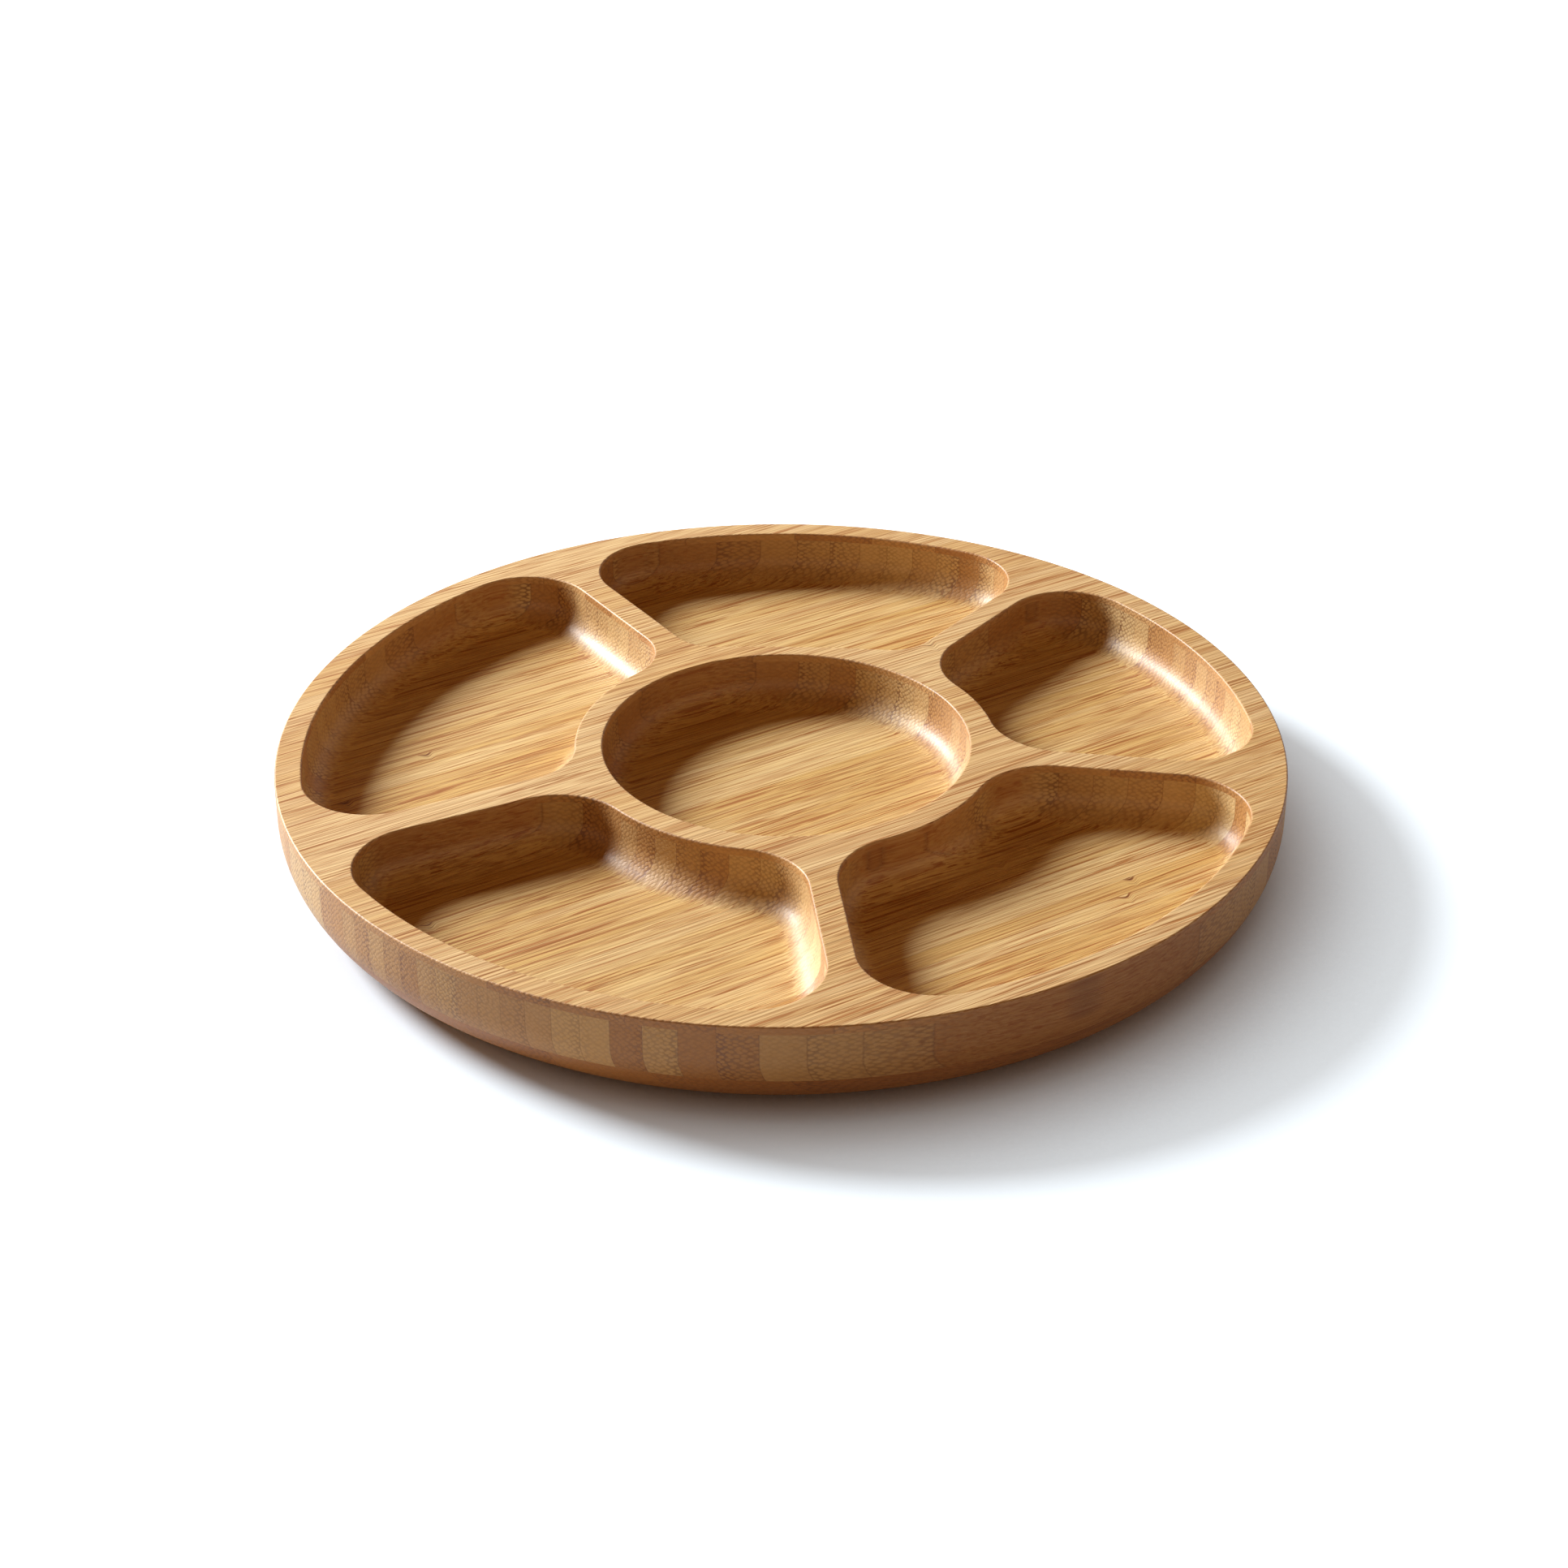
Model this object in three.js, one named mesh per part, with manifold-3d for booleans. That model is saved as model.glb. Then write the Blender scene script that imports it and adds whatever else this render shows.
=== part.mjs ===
// A round divided tray, routed from a board of laminated bamboo.
// Millimetres, +Z up. The fibres of every layer run along X, and the origin is the middle of the flat bottom.
// From the top down the board is a thin face ply, a core of strips that stand on edge,
// and a base of wide strips.
import * as THREE from 'three';
import { mergeVertices } from 'three/addons/utils/BufferGeometryUtils.js';
import Module from 'manifold-3d';

const wasm = await Module();
wasm.setup();

// Driving dimensions of the turned board
const trayRadius = 150;
const bottomRound = 20; // turns the upright side into the flat bottom

// Driving dimensions of the lamination
const basePlyThickness = 13.2;
const floorSkin = 1.6; // core left under the wells
const facePlyThickness = 2.4;
const coreStripCount = 45;
const baseStripCount = 13;
const glueLine = 0.1;

// Driving dimensions of the routed wells
const wellDepth = 16.2;
const coveRadius = 8.5; // turns a well's upright wall into its floor
const rimWidth = 8; // between the outer wells and the side
const centreWellRadius = 54.8;
const centreWellX = 1.4;
const centreWellY = -0.6;
const ringWall = 8.4; // between the centre well and the curved inner walls
const straightRingWall = 5.6; // the same wall where it is thinnest, beside the nearly straight inner wall
const straightInnerRadius = 400;
const outerCornerRadius = 21;

// The spokes that part the outer wells, counter-clockwise. The angle is a spoke's direction from the fibres,
// and the offset is how far its middle line passes to the left of the centre well's axis.
const spokes = [
  { angle: -40.7, offset: 0.8, width: 8.8 },
  { angle: 20.3, offset: -0.8, width: 8 },
  { angle: 90.9, offset: -4, width: 9 },
  { angle: 173.8, offset: -7.8, width: 10.4 },
  { angle: 243.8, offset: 1.5, width: 8.4 },
];

// The outer wells. Each one lies between the spoke in the same place of the list above and the next spoke.
const outerWells = [
  { innerCornerRadius: 23, innerWall: 'curved' },
  { innerCornerRadius: 14.5, innerWall: 'straight' },
  { innerCornerRadius: 19, innerWall: 'curved' },
  { innerCornerRadius: 21, innerWall: 'curved' },
  { innerCornerRadius: 23, innerWall: 'curved' },
];

// Smoothness of the round shapes. A path draws each of its arcs with twice its divisions.
const turnedSegments = 72;
const centreWellSegments = 48;
const outlineDivisions = 3;
const profileDivisions = 2;

// Places that follow from the driving dimensions.
// The board is as thick as its base ply, the skin and the depth of the wells together.
const cutterOverrun = 5; // how far a cutting shape runs past what it cuts
const corePlyBottom = basePlyThickness;
const floorHeight = corePlyBottom + floorSkin;
const trayThickness = floorHeight + wellDepth;
const facePlyBottom = trayThickness - facePlyThickness;
const sideRound = Math.min(bottomRound, facePlyBottom);
const coreStripPitch = (2 * trayRadius) / coreStripCount;
const baseStripPitch = (2 * trayRadius) / baseStripCount;
const centre = new THREE.Vector2(centreWellX, centreWellY);
const axis = new THREE.Vector2(0, 0);

// A closed geometry becomes a solid once its shared corners are merged and its empty triangles are dropped.
function solidFrom(geometry) {
  const bare = geometry.clone();
  bare.deleteAttribute('normal');
  bare.deleteAttribute('uv');
  const merged = mergeVertices(bare);
  const corners = merged.index.array;
  const kept = [];
  for (let i = 0; i < corners.length; i += 3) {
    const [a, b, c] = corners.slice(i, i + 3);
    if (a !== b && b !== c && c !== a) {
      kept.push(a, b, c);
    }
  }
  const mesh = new wasm.Mesh({
    numProp: 3,
    vertProperties: new Float32Array(merged.attributes.position.array),
    triVerts: new Uint32Array(kept),
  });
  return new wasm.Manifold(mesh);
}

// A named mesh is the finished form of one piece.
function pieceFrom(name, solid, material) {
  const mesh = solid.getMesh();
  const geometry = new THREE.BufferGeometry();
  geometry.setAttribute('position', new THREE.BufferAttribute(mesh.vertProperties, 3));
  geometry.setIndex(new THREE.BufferAttribute(mesh.triVerts, 1));
  geometry.computeVertexNormals();
  const piece = new THREE.Mesh(geometry, material);
  piece.name = name;
  return piece;
}

// Turn a profile of radius and height round the Z axis.
function turned(profile, segments) {
  const geometry = new THREE.LatheGeometry(profile, segments);
  geometry.rotateX(Math.PI / 2);
  return geometry;
}

// The whole board before routing: flat bottom, rounded lower edge, upright side.
function turnedBoard() {
  const path = new THREE.Path();
  path.moveTo(0, 0);
  path.lineTo(trayRadius - sideRound, 0);
  path.absarc(trayRadius - sideRound, sideRound, sideRound, -Math.PI / 2, 0, false);
  path.lineTo(trayRadius, trayThickness);
  path.lineTo(0, trayThickness);
  return solidFrom(turned(path.getPoints(profileDivisions), turnedSegments));
}

// The round well in the middle, with a coved edge to its floor. It is turned on the axis and then set in place.
function centreWellCutter() {
  const path = new THREE.Path();
  path.moveTo(0, floorHeight);
  path.lineTo(centreWellRadius - coveRadius, floorHeight);
  path.absarc(centreWellRadius - coveRadius, floorHeight + coveRadius, coveRadius, -Math.PI / 2, 0, false);
  path.lineTo(centreWellRadius, trayThickness + cutterOverrun);
  path.lineTo(0, trayThickness + cutterOverrun);
  const geometry = turned(path.getPoints(profileDivisions), centreWellSegments);
  geometry.translate(centre.x, centre.y, 0);
  return solidFrom(geometry);
}

// One straight side of an outer well. The sign is +1 for the left flank of a spoke and -1 for its right flank.
function spokeFlank(spoke, sign) {
  const angle = THREE.MathUtils.degToRad(spoke.angle);
  const along = new THREE.Vector2(Math.cos(angle), Math.sin(angle));
  const left = new THREE.Vector2(-along.y, along.x);
  const start = centre.clone().addScaledVector(left, spoke.offset + (sign * spoke.width) / 2);
  return { start, along, inward: left.multiplyScalar(sign) };
}

// The middle of a corner round that touches a flank, and a circle at the given reach from its own middle.
function cornerCentre(flank, cornerRadius, circleCentre, reach) {
  const start = flank.start.clone().addScaledVector(flank.inward, cornerRadius);
  const fromCircle = start.clone().sub(circleCentre);
  const half = fromCircle.dot(flank.along);
  const run = -half + Math.sqrt(half * half - fromCircle.lengthSq() + reach * reach);
  return start.addScaledVector(flank.along, run);
}

// The rim outline of an outer well: outer arc, two flanks, inner arc, and a round at each corner.
function outerWellOutline(well, spoke, nextSpoke) {
  const first = spokeFlank(spoke, 1);
  const last = spokeFlank(nextSpoke, -1);
  const outerRadius = trayRadius - rimWidth;
  const curved = well.innerWall === 'curved';
  const innerReach = centreWellRadius + (curved ? ringWall : straightRingWall);
  const innerRadius = curved ? innerReach : straightInnerRadius;
  const middle = first.along.clone().add(last.along).normalize();
  const innerCentre = centre.clone().addScaledVector(middle, innerReach - innerRadius);
  const outerReach = outerRadius - outerCornerRadius;
  const innerCornerReach = innerRadius + well.innerCornerRadius;
  const outerFirst = cornerCentre(first, outerCornerRadius, axis, outerReach);
  const outerLast = cornerCentre(last, outerCornerRadius, axis, outerReach);
  const innerFirst = cornerCentre(first, well.innerCornerRadius, innerCentre, innerCornerReach);
  const innerLast = cornerCentre(last, well.innerCornerRadius, innerCentre, innerCornerReach);
  const intoFirst = first.inward.clone().negate().angle();
  const intoLast = last.inward.clone().negate().angle();
  const outline = new THREE.Shape();
  const round = (at, radius, from, to, clockwise) => outline.absarc(at.x, at.y, radius, from, to, clockwise);
  round(outerFirst, outerCornerRadius, intoFirst, outerFirst.angle(), false);
  round(axis, outerRadius, outerFirst.angle(), outerLast.angle(), false);
  round(outerLast, outerCornerRadius, outerLast.angle(), intoLast, false);
  const innerLastTurn = innerLast.clone().sub(innerCentre).angle();
  const innerFirstTurn = innerFirst.clone().sub(innerCentre).angle();
  round(innerLast, well.innerCornerRadius, intoLast, innerLastTurn + Math.PI, false);
  round(innerCentre, innerRadius, innerLastTurn, innerFirstTurn, true);
  round(innerFirst, well.innerCornerRadius, innerFirstTurn + Math.PI, intoFirst, false);
  return outline;
}

// An outer well: upright walls from above the rim down to the cove, which a rounded end of the extrusion makes.
function outerWellCutter(well, index) {
  const outline = outerWellOutline(well, spokes[index], spokes[(index + 1) % spokes.length]);
  const geometry = new THREE.ExtrudeGeometry(outline, {
    depth: wellDepth - coveRadius + cutterOverrun,
    curveSegments: outlineDivisions,
    bevelEnabled: true,
    bevelThickness: coveRadius,
    bevelSize: coveRadius,
    bevelOffset: -coveRadius,
    bevelSegments: 2 * profileDivisions,
  });
  geometry.translate(0, 0, floorHeight + coveRadius);
  return solidFrom(geometry);
}

// A straight slab along the fibres, between two heights, that reaches past both ends of the board
function slab(middleY, width, bottom, top) {
  const length = 2 * (trayRadius + cutterOverrun);
  const geometry = new THREE.BoxGeometry(length, width, top - bottom);
  geometry.translate(0, middleY, (bottom + top) / 2);
  return solidFrom(geometry);
}

// Sawn bamboo, a little darker where the ends of the fibres show
function bamboo(color, roughness) {
  return new THREE.MeshStandardMaterial({ color, roughness, metalness: 0 });
}

const board = turnedBoard();
const cutters = [centreWellCutter(), ...outerWells.map(outerWellCutter)];
const routedBoard = cutters.reduce((solid, cutter) => solid.subtract(cutter), board);

const tray = new THREE.Group();
tray.name = 'divided_bamboo_tray';

// The face ply is one sheet with six openings, because routing leaves its strips as short ends.
const faceSlabWidth = 2 * (trayRadius + cutterOverrun);
const faceSlab = slab(0, faceSlabWidth, facePlyBottom + glueLine / 2, trayThickness + cutterOverrun);
tray.add(pieceFrom('face_ply', routedBoard.intersect(faceSlab), bamboo('#e0bd7e', 0.45)));

// A row of strips side by side across the board, numbered from the -Y edge to the +Y edge
function addStrips(stock, name, count, pitch, bottom, top, material) {
  for (let i = 0; i < count; i += 1) {
    const middleY = (i + 0.5) * pitch - trayRadius;
    const strip = stock.intersect(slab(middleY, pitch - glueLine, bottom, top));
    const number = String(i + 1).padStart(2, '0');
    tray.add(pieceFrom(`${name}_${number}`, strip, material.clone()));
  }
}

addStrips(
  routedBoard,
  'core_strip',
  coreStripCount,
  coreStripPitch,
  corePlyBottom + glueLine / 2,
  facePlyBottom - glueLine / 2,
  bamboo('#b97f3f', 0.5),
);

addStrips(
  board,
  'base_strip',
  baseStripCount,
  baseStripPitch,
  -cutterOverrun,
  corePlyBottom - glueLine / 2,
  bamboo('#c08a4a', 0.5),
);

export default tray;
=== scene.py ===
# %% [markdown]
# # A divided bamboo tray
# The tray is a round board, glued up from strips of bamboo, turned on a lathe and routed to six wells.
# This lesson makes its fine surface round a plain CAD model, which gives every piece its place. The CAD
# model is loaded first and is never moved. All its objects are in metres, with the fibres along X.

# %% Load the plain model
import math

import bmesh
import bpy
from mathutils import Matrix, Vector


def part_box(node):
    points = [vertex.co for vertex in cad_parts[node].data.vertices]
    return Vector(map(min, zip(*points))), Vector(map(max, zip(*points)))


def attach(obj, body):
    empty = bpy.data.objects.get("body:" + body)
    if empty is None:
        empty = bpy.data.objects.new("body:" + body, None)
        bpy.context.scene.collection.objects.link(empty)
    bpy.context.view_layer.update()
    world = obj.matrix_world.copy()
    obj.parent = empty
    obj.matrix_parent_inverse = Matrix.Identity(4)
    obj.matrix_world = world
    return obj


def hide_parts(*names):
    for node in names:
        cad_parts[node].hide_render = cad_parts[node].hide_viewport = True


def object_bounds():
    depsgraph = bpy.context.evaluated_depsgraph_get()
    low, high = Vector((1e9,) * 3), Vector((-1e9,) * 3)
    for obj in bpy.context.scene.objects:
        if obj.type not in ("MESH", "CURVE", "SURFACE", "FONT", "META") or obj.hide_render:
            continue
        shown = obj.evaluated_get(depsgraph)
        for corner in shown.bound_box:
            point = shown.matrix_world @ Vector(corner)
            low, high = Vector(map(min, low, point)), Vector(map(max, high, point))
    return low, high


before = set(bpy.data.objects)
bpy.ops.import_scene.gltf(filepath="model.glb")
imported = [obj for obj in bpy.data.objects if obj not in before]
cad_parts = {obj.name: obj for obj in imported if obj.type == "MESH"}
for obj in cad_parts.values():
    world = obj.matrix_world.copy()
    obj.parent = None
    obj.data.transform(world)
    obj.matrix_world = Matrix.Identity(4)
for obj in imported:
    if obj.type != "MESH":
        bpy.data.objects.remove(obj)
cad_low, cad_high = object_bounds()
print("CAD box, metres:", tuple(cad_low), tuple(cad_high))

# %% [markdown]
# ## The camera
# A camera could be dragged into place by eye. Here its place is worked out instead, from how far round
# the tray it stands, how high, how far away and how long its lens is. The middle of the tray's face lies
# a little above the middle of the picture, so the camera looks at a point just in front of it.

# %% Place the camera
MM = 0.001
PICTURE_SIDE_PX = 1932
FOCAL_LENGTH_PX = 3893
FACE_CENTRE_PX = (962.5, 913.0)
SENSOR_MM = 36.0
VIEW_AZIMUTH = math.radians(-32.5)
VIEW_ELEVATION = math.radians(29.5)
VIEW_DISTANCE = 943.5 * MM

face_centre = Vector((0, 0, cad_high.z))
towards_camera = Vector((
    math.sin(VIEW_AZIMUTH) * math.cos(VIEW_ELEVATION),
    -math.cos(VIEW_AZIMUTH) * math.cos(VIEW_ELEVATION),
    math.sin(VIEW_ELEVATION),
))
camera_right = Vector((math.cos(VIEW_AZIMUTH), math.sin(VIEW_AZIMUTH), 0))
camera_up = towards_camera.cross(camera_right)
metres_per_pixel = VIEW_DISTANCE / FOCAL_LENGTH_PX
aim_right = (PICTURE_SIDE_PX / 2 - FACE_CENTRE_PX[0]) * metres_per_pixel
aim_down = (PICTURE_SIDE_PX / 2 - FACE_CENTRE_PX[1]) * metres_per_pixel
aim = face_centre + camera_right * aim_right - camera_up * aim_down

camera = bpy.data.objects.new("camera", bpy.data.cameras.new("camera"))
camera.data.sensor_width = SENSOR_MM
camera.data.lens = SENSOR_MM * FOCAL_LENGTH_PX / PICTURE_SIDE_PX
camera.location = face_centre + towards_camera * VIEW_DISTANCE
camera.rotation_euler = (aim - camera.location).to_track_quat("-Z", "Y").to_euler()
bpy.context.scene.collection.objects.link(camera)
bpy.context.scene.camera = camera
print("camera lens, mm:", round(camera.data.lens, 2), "at", tuple(round(c, 3) for c in camera.location))

# %% [markdown]
# ## The sizes of the board
# The overall size and the heights of the glue lines are read from the CAD boxes, so that each fine piece
# fills its own CAD piece. The mesh work is done in millimetres, which are easier to read, and scaled at
# the end.

# %% Read the sizes of the board
board_radius = cad_high.x / MM
board_top = cad_high.z / MM
core_count = sum(name.startswith("core_strip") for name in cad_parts)
base_count = sum(name.startswith("base_strip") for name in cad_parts)
core_pitch = 2 * board_radius / core_count
base_pitch = 2 * board_radius / base_count
middle_core = "core_strip_23"
middle_base = "base_strip_07"
face_line = (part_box("face_ply")[0].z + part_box(middle_core)[1].z) / 2 / MM
base_line = (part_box(middle_core)[0].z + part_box(middle_base)[1].z) / 2 / MM
print("board", board_radius, "by", board_top, "mm, glue lines at", round(face_line, 2), round(base_line, 2))

# %% [markdown]
# ## Arcs and chains
# Every outline of this tray is made of arcs and straight runs. The spin operator drags one vertex round a
# centre and leaves an arc of edges behind it, so a chain of spins draws a whole outline. Typing the
# points of an arc would give the same edges, but the centre and angle say what the shape is.

# %% Draw arcs and join them to a chain
ARC_STEP = math.radians(2.5)
FEWEST_STEPS = 4
MERGE_DISTANCE = 0.01


def spin_arc(bm, start, centre, axis, angle):
    """Spin one vertex about an axis, and return the first and the last vertex of the arc."""
    first = bm.verts.new(start)
    steps = max(FEWEST_STEPS, math.ceil(abs(angle) / ARC_STEP))
    spun = bmesh.ops.spin(bm, geom=[first], cent=centre, axis=axis, angle=angle, steps=steps)
    last = [item for item in spun["geom_last"] if isinstance(item, bmesh.types.BMVert)][0]
    return first, last


def join_chain(bm, runs, closed):
    """Join the end of each run to the start of the next one, and merge ends that touch."""
    pairs = list(zip(runs, runs[1:] + runs[:1] if closed else runs[1:]))
    for (_, end), (start, _) in pairs:
        bmesh.ops.contextual_create(bm, geom=[end, start])
    bmesh.ops.remove_doubles(bm, verts=bm.verts[:], dist=MERGE_DISTANCE)


# %% [markdown]
# ## The turned board
# On the real tray a lathe rounds the lower edge and breaks the sharp upper edge. The spin operator is
# Blender's lathe: it turns a profile once round the upright axis. A narrow flat land is kept beside each
# round, because smooth shading would otherwise spread the tilt of the round over the whole flat face.

# %% Turn the board
BOTTOM_ROUND = 20.0
LIP_ROUND = 0.6
LAND = 0.25
BOARD_SIDES = 288
Y_AXIS = (0, 1, 0)
Z_AXIS = (0, 0, 1)

board = bmesh.new()
top_land = board.verts.new((board_radius - LIP_ROUND - LAND, 0, board_top))
lip_start = (board_radius - LIP_ROUND, 0, board_top)
lip_centre = (board_radius - LIP_ROUND, 0, board_top - LIP_ROUND)
lip = spin_arc(board, lip_start, lip_centre, Y_AXIS, math.pi / 2)
foot_start = (board_radius, 0, BOTTOM_ROUND)
foot_centre = (board_radius - BOTTOM_ROUND, 0, BOTTOM_ROUND)
foot = spin_arc(board, foot_start, foot_centre, Y_AXIS, math.pi / 2)
bottom_land = board.verts.new((board_radius - BOTTOM_ROUND - LAND, 0, 0))
join_chain(board, [(top_land, top_land), lip, foot, (bottom_land, bottom_land)], closed=False)
profile = board.verts[:] + board.edges[:]
bmesh.ops.spin(board, geom=profile, axis=Z_AXIS, angle=2 * math.pi, steps=BOARD_SIDES, use_merge=True)
bottom_ring = [edge for edge in board.edges if edge.is_boundary and edge.verts[0].co.z < BOTTOM_ROUND]
bmesh.ops.holes_fill(board, edges=bottom_ring)
print("turned board:", len(board.faces), "faces")

# %% [markdown]
# ## The routed wells
# A router sinks each well. In the mesh a well starts as a flat face with the outline of its rim, and the
# same face is then shrunk and lowered step by step: over the broken edge, down the wall and round the
# cove. Inset does the shrinking. A boolean cut would also work, but it leaves a ragged mesh along the
# rounds.

# %% Shrink and lower the floor of a well
def sink(bm, floor, inset, drop):
    """Shrink the floor of a well all round, and lower it."""
    if inset > 0:
        bmesh.ops.inset_region(bm, faces=[floor], thickness=inset, use_boundary=True, use_even_offset=True)
    else:
        floor = bmesh.ops.extrude_discrete_faces(bm, faces=[floor])["faces"][0]
    bmesh.ops.translate(bm, verts=floor.verts[:], vec=(0, 0, -drop))
    return floor


# %% Sink a well from its rim
FLOOR_HEIGHT = 14.8
COVE_ROUND = 8.5
LIP_STEPS = 6
COVE_STEPS = 16


def rout_well(bm, floor):
    """Sink a flat face that covers a well's rim down to the floor of the well."""
    floor = sink(bm, floor, LAND, 0)
    for step in range(LIP_STEPS):
        before = math.pi / 2 * step / LIP_STEPS
        after = math.pi / 2 * (step + 1) / LIP_STEPS
        inset = LIP_ROUND * (math.sin(after) - math.sin(before))
        drop = LIP_ROUND * (math.cos(before) - math.cos(after))
        floor = sink(bm, floor, inset, drop)
    floor = sink(bm, floor, 0, board_top - LIP_ROUND - COVE_ROUND - FLOOR_HEIGHT)
    for step in range(COVE_STEPS):
        before = math.pi / 2 * step / COVE_STEPS
        after = math.pi / 2 * (step + 1) / COVE_STEPS
        inset = COVE_ROUND * (math.cos(before) - math.cos(after))
        drop = COVE_ROUND * (math.sin(after) - math.sin(before))
        floor = sink(bm, floor, inset, drop)
    sink(bm, floor, LAND, 0)


# %% [markdown]
# ## The centre well
# The centre well is round, so its rim is a circle. It stands a little off the axis of the board. The rim
# is drawn wider than the well by the broken edge and the land beside it.

# %% Rout the centre well
CENTRE_WELL_RADIUS = 54.8
CENTRE = Vector((1.4, -0.6, 0))
CENTRE_SIDES = 180
RIM_GROWTH = LIP_ROUND + LAND

rim = bmesh.ops.create_circle(
    board, cap_ends=True, radius=CENTRE_WELL_RADIUS + RIM_GROWTH, segments=CENTRE_SIDES
)
bmesh.ops.translate(board, verts=rim["verts"], vec=CENTRE + Vector((0, 0, board_top)))
rout_well(board, rim["verts"][0].link_faces[0])
print("with the centre well:", len(board.faces), "faces")

# %% [markdown]
# ## The outer wells
# Five wells lie round the centre, parted by straight spokes. The rim of each is an outer arc, two
# straight flanks, an inner arc and a round at each of the four corners. Each corner round touches a flank
# and an arc, so its middle is found from those two, and no point of the outline is typed.

# %% List the spokes and the outer wells
RIM_WIDTH = 8.0
RING_WALL = 8.4
STRAIGHT_RING_WALL = 5.6
STRAIGHT_INNER_RADIUS = 400.0
OUTER_CORNER = 21.0
# A spoke's direction from the fibres in degrees, how far it passes left of the centre, and its width
SPOKES = [(-40.7, 0.8, 8.8), (20.3, -0.8, 8.0), (90.9, -4.0, 9.0), (173.8, -7.8, 10.4), (243.8, 1.5, 8.4)]
# The inner corner round of each outer well, and whether its inner wall follows the ring
OUTER_WELLS = [(23.0, True), (14.5, False), (19.0, True), (21.0, True), (23.0, True)]
print("outer wells:", len(OUTER_WELLS), "between", len(SPOKES), "spokes")


# %% Find the flanks and the corner middles
def spoke_flank(spoke, side):
    """Start, direction and inward direction of a spoke's left (+1) or right (-1) flank."""
    angle, offset, width = spoke
    along = Vector((math.cos(math.radians(angle)), math.sin(math.radians(angle)), 0))
    left = Vector((-along.y, along.x, 0))
    return CENTRE + left * (offset + side * width / 2), along, left * side


def corner_middle(flank, corner, circle_middle, reach):
    """Middle of a corner round that touches a flank and lies at a reach from a circle's middle."""
    start, along, inward = flank
    start = start + inward * corner
    away = start - circle_middle
    half = away.dot(along)
    return start + along * (math.sqrt(half * half - away.length_squared + reach * reach) - half)


def heading(vector):
    """The direction of a vector, as an angle from the fibres."""
    return math.atan2(vector.y, vector.x)


# %% Draw the rim of an outer well
def rim_arc(bm, middle, radius, start, end, turn):
    """An arc of the rim between two headings, counter-clockwise for a turn of +1."""
    angle = (turn * (end - start)) % (2 * math.pi) * turn
    middle = Vector((middle.x, middle.y, board_top))
    first = middle + Vector((math.cos(start), math.sin(start), 0)) * radius
    return spin_arc(bm, first, middle, Z_AXIS, angle)


def draw_rim(bm, well, spoke, next_spoke):
    """The closed rim of an outer well, grown by its broken edge, and the face that covers it."""
    corner, follows_ring = well
    first = spoke_flank(spoke, 1)
    last = spoke_flank(next_spoke, -1)
    axis = Vector((0, 0, 0))
    outer = board_radius - RIM_WIDTH
    inner_reach = CENTRE_WELL_RADIUS + (RING_WALL if follows_ring else STRAIGHT_RING_WALL)
    inner = inner_reach if follows_ring else STRAIGHT_INNER_RADIUS
    inner_middle = CENTRE + (first[1] + last[1]).normalized() * (inner_reach - inner)
    outer_first = corner_middle(first, OUTER_CORNER, axis, outer - OUTER_CORNER)
    outer_last = corner_middle(last, OUTER_CORNER, axis, outer - OUTER_CORNER)
    inner_first = corner_middle(first, corner, inner_middle, inner + corner)
    inner_last = corner_middle(last, corner, inner_middle, inner + corner)
    to_first = heading(-first[2])
    to_last = heading(-last[2])
    from_ring_first = heading(inner_first - inner_middle)
    from_ring_last = heading(inner_last - inner_middle)
    grown = OUTER_CORNER + RIM_GROWTH
    grown_inner = corner + RIM_GROWTH
    runs = [
        rim_arc(bm, outer_first, grown, to_first, heading(outer_first), 1),
        rim_arc(bm, axis, outer + RIM_GROWTH, heading(outer_first), heading(outer_last), 1),
        rim_arc(bm, outer_last, grown, heading(outer_last), to_last, 1),
        rim_arc(bm, inner_last, grown_inner, to_last, from_ring_last + math.pi, 1),
        rim_arc(bm, inner_middle, inner - RIM_GROWTH, from_ring_last, from_ring_first, -1),
        rim_arc(bm, inner_first, grown_inner, from_ring_first + math.pi, to_first, 1),
    ]
    join_chain(bm, runs, closed=True)
    return bmesh.ops.holes_fill(bm, edges=bm.edges[:])["faces"][0]


# %% Rout the outer wells
def copy_into(target, source):
    """Add all of one bmesh to another."""
    mesh = bpy.data.meshes.new("carried")
    source.to_mesh(mesh)
    source.free()
    target.from_mesh(mesh)
    bpy.data.meshes.remove(mesh)


for number, well in enumerate(OUTER_WELLS):
    well_mesh = bmesh.new()
    well_floor = draw_rim(well_mesh, well, SPOKES[number], SPOKES[(number + 1) % len(SPOKES)])
    if well_floor.normal.z < 0:
        well_floor.normal_flip()
    rout_well(well_mesh, well_floor)
    print("outer well", number + 1, "has", len(well_mesh.faces), "faces")
    copy_into(board, well_mesh)

# %% [markdown]
# ## The flat face
# What is left open is the flat top between the board's edge and the six rims. Triangle fill closes a flat
# region that has holes in it. It is flat, so the long thin triangles that it makes don't show. Its beauty
# option stays off, because the triangles would then change from run to run.

# %% Close the flat face
open_edges = [edge for edge in board.edges if edge.is_boundary]
bmesh.ops.triangle_fill(board, edges=open_edges, normal=Z_AXIS)
bmesh.ops.recalc_face_normals(board, faces=board.faces[:])
for face in board.faces:
    face.smooth = True
still_open = sum(edge.is_boundary for edge in board.edges)
reach = max(vert.co.xy.length for vert in board.verts)
print("routed board:", len(board.faces), "faces,", still_open, "open edges, reach", round(reach, 4), "mm")

# %% [markdown]
# ## Sawing the board back into its strips
# The real tray was glued first and shaped afterwards, so every strip carries a slice of the finished
# surface. The model goes the other way: the finished board is sawn at its glue lines. Bisect cuts the
# mesh at a plane and drops one side, and triangle fill closes the cut. The edges of a cut are marked
# sharp, so that the shading doesn't bend round them.

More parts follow.
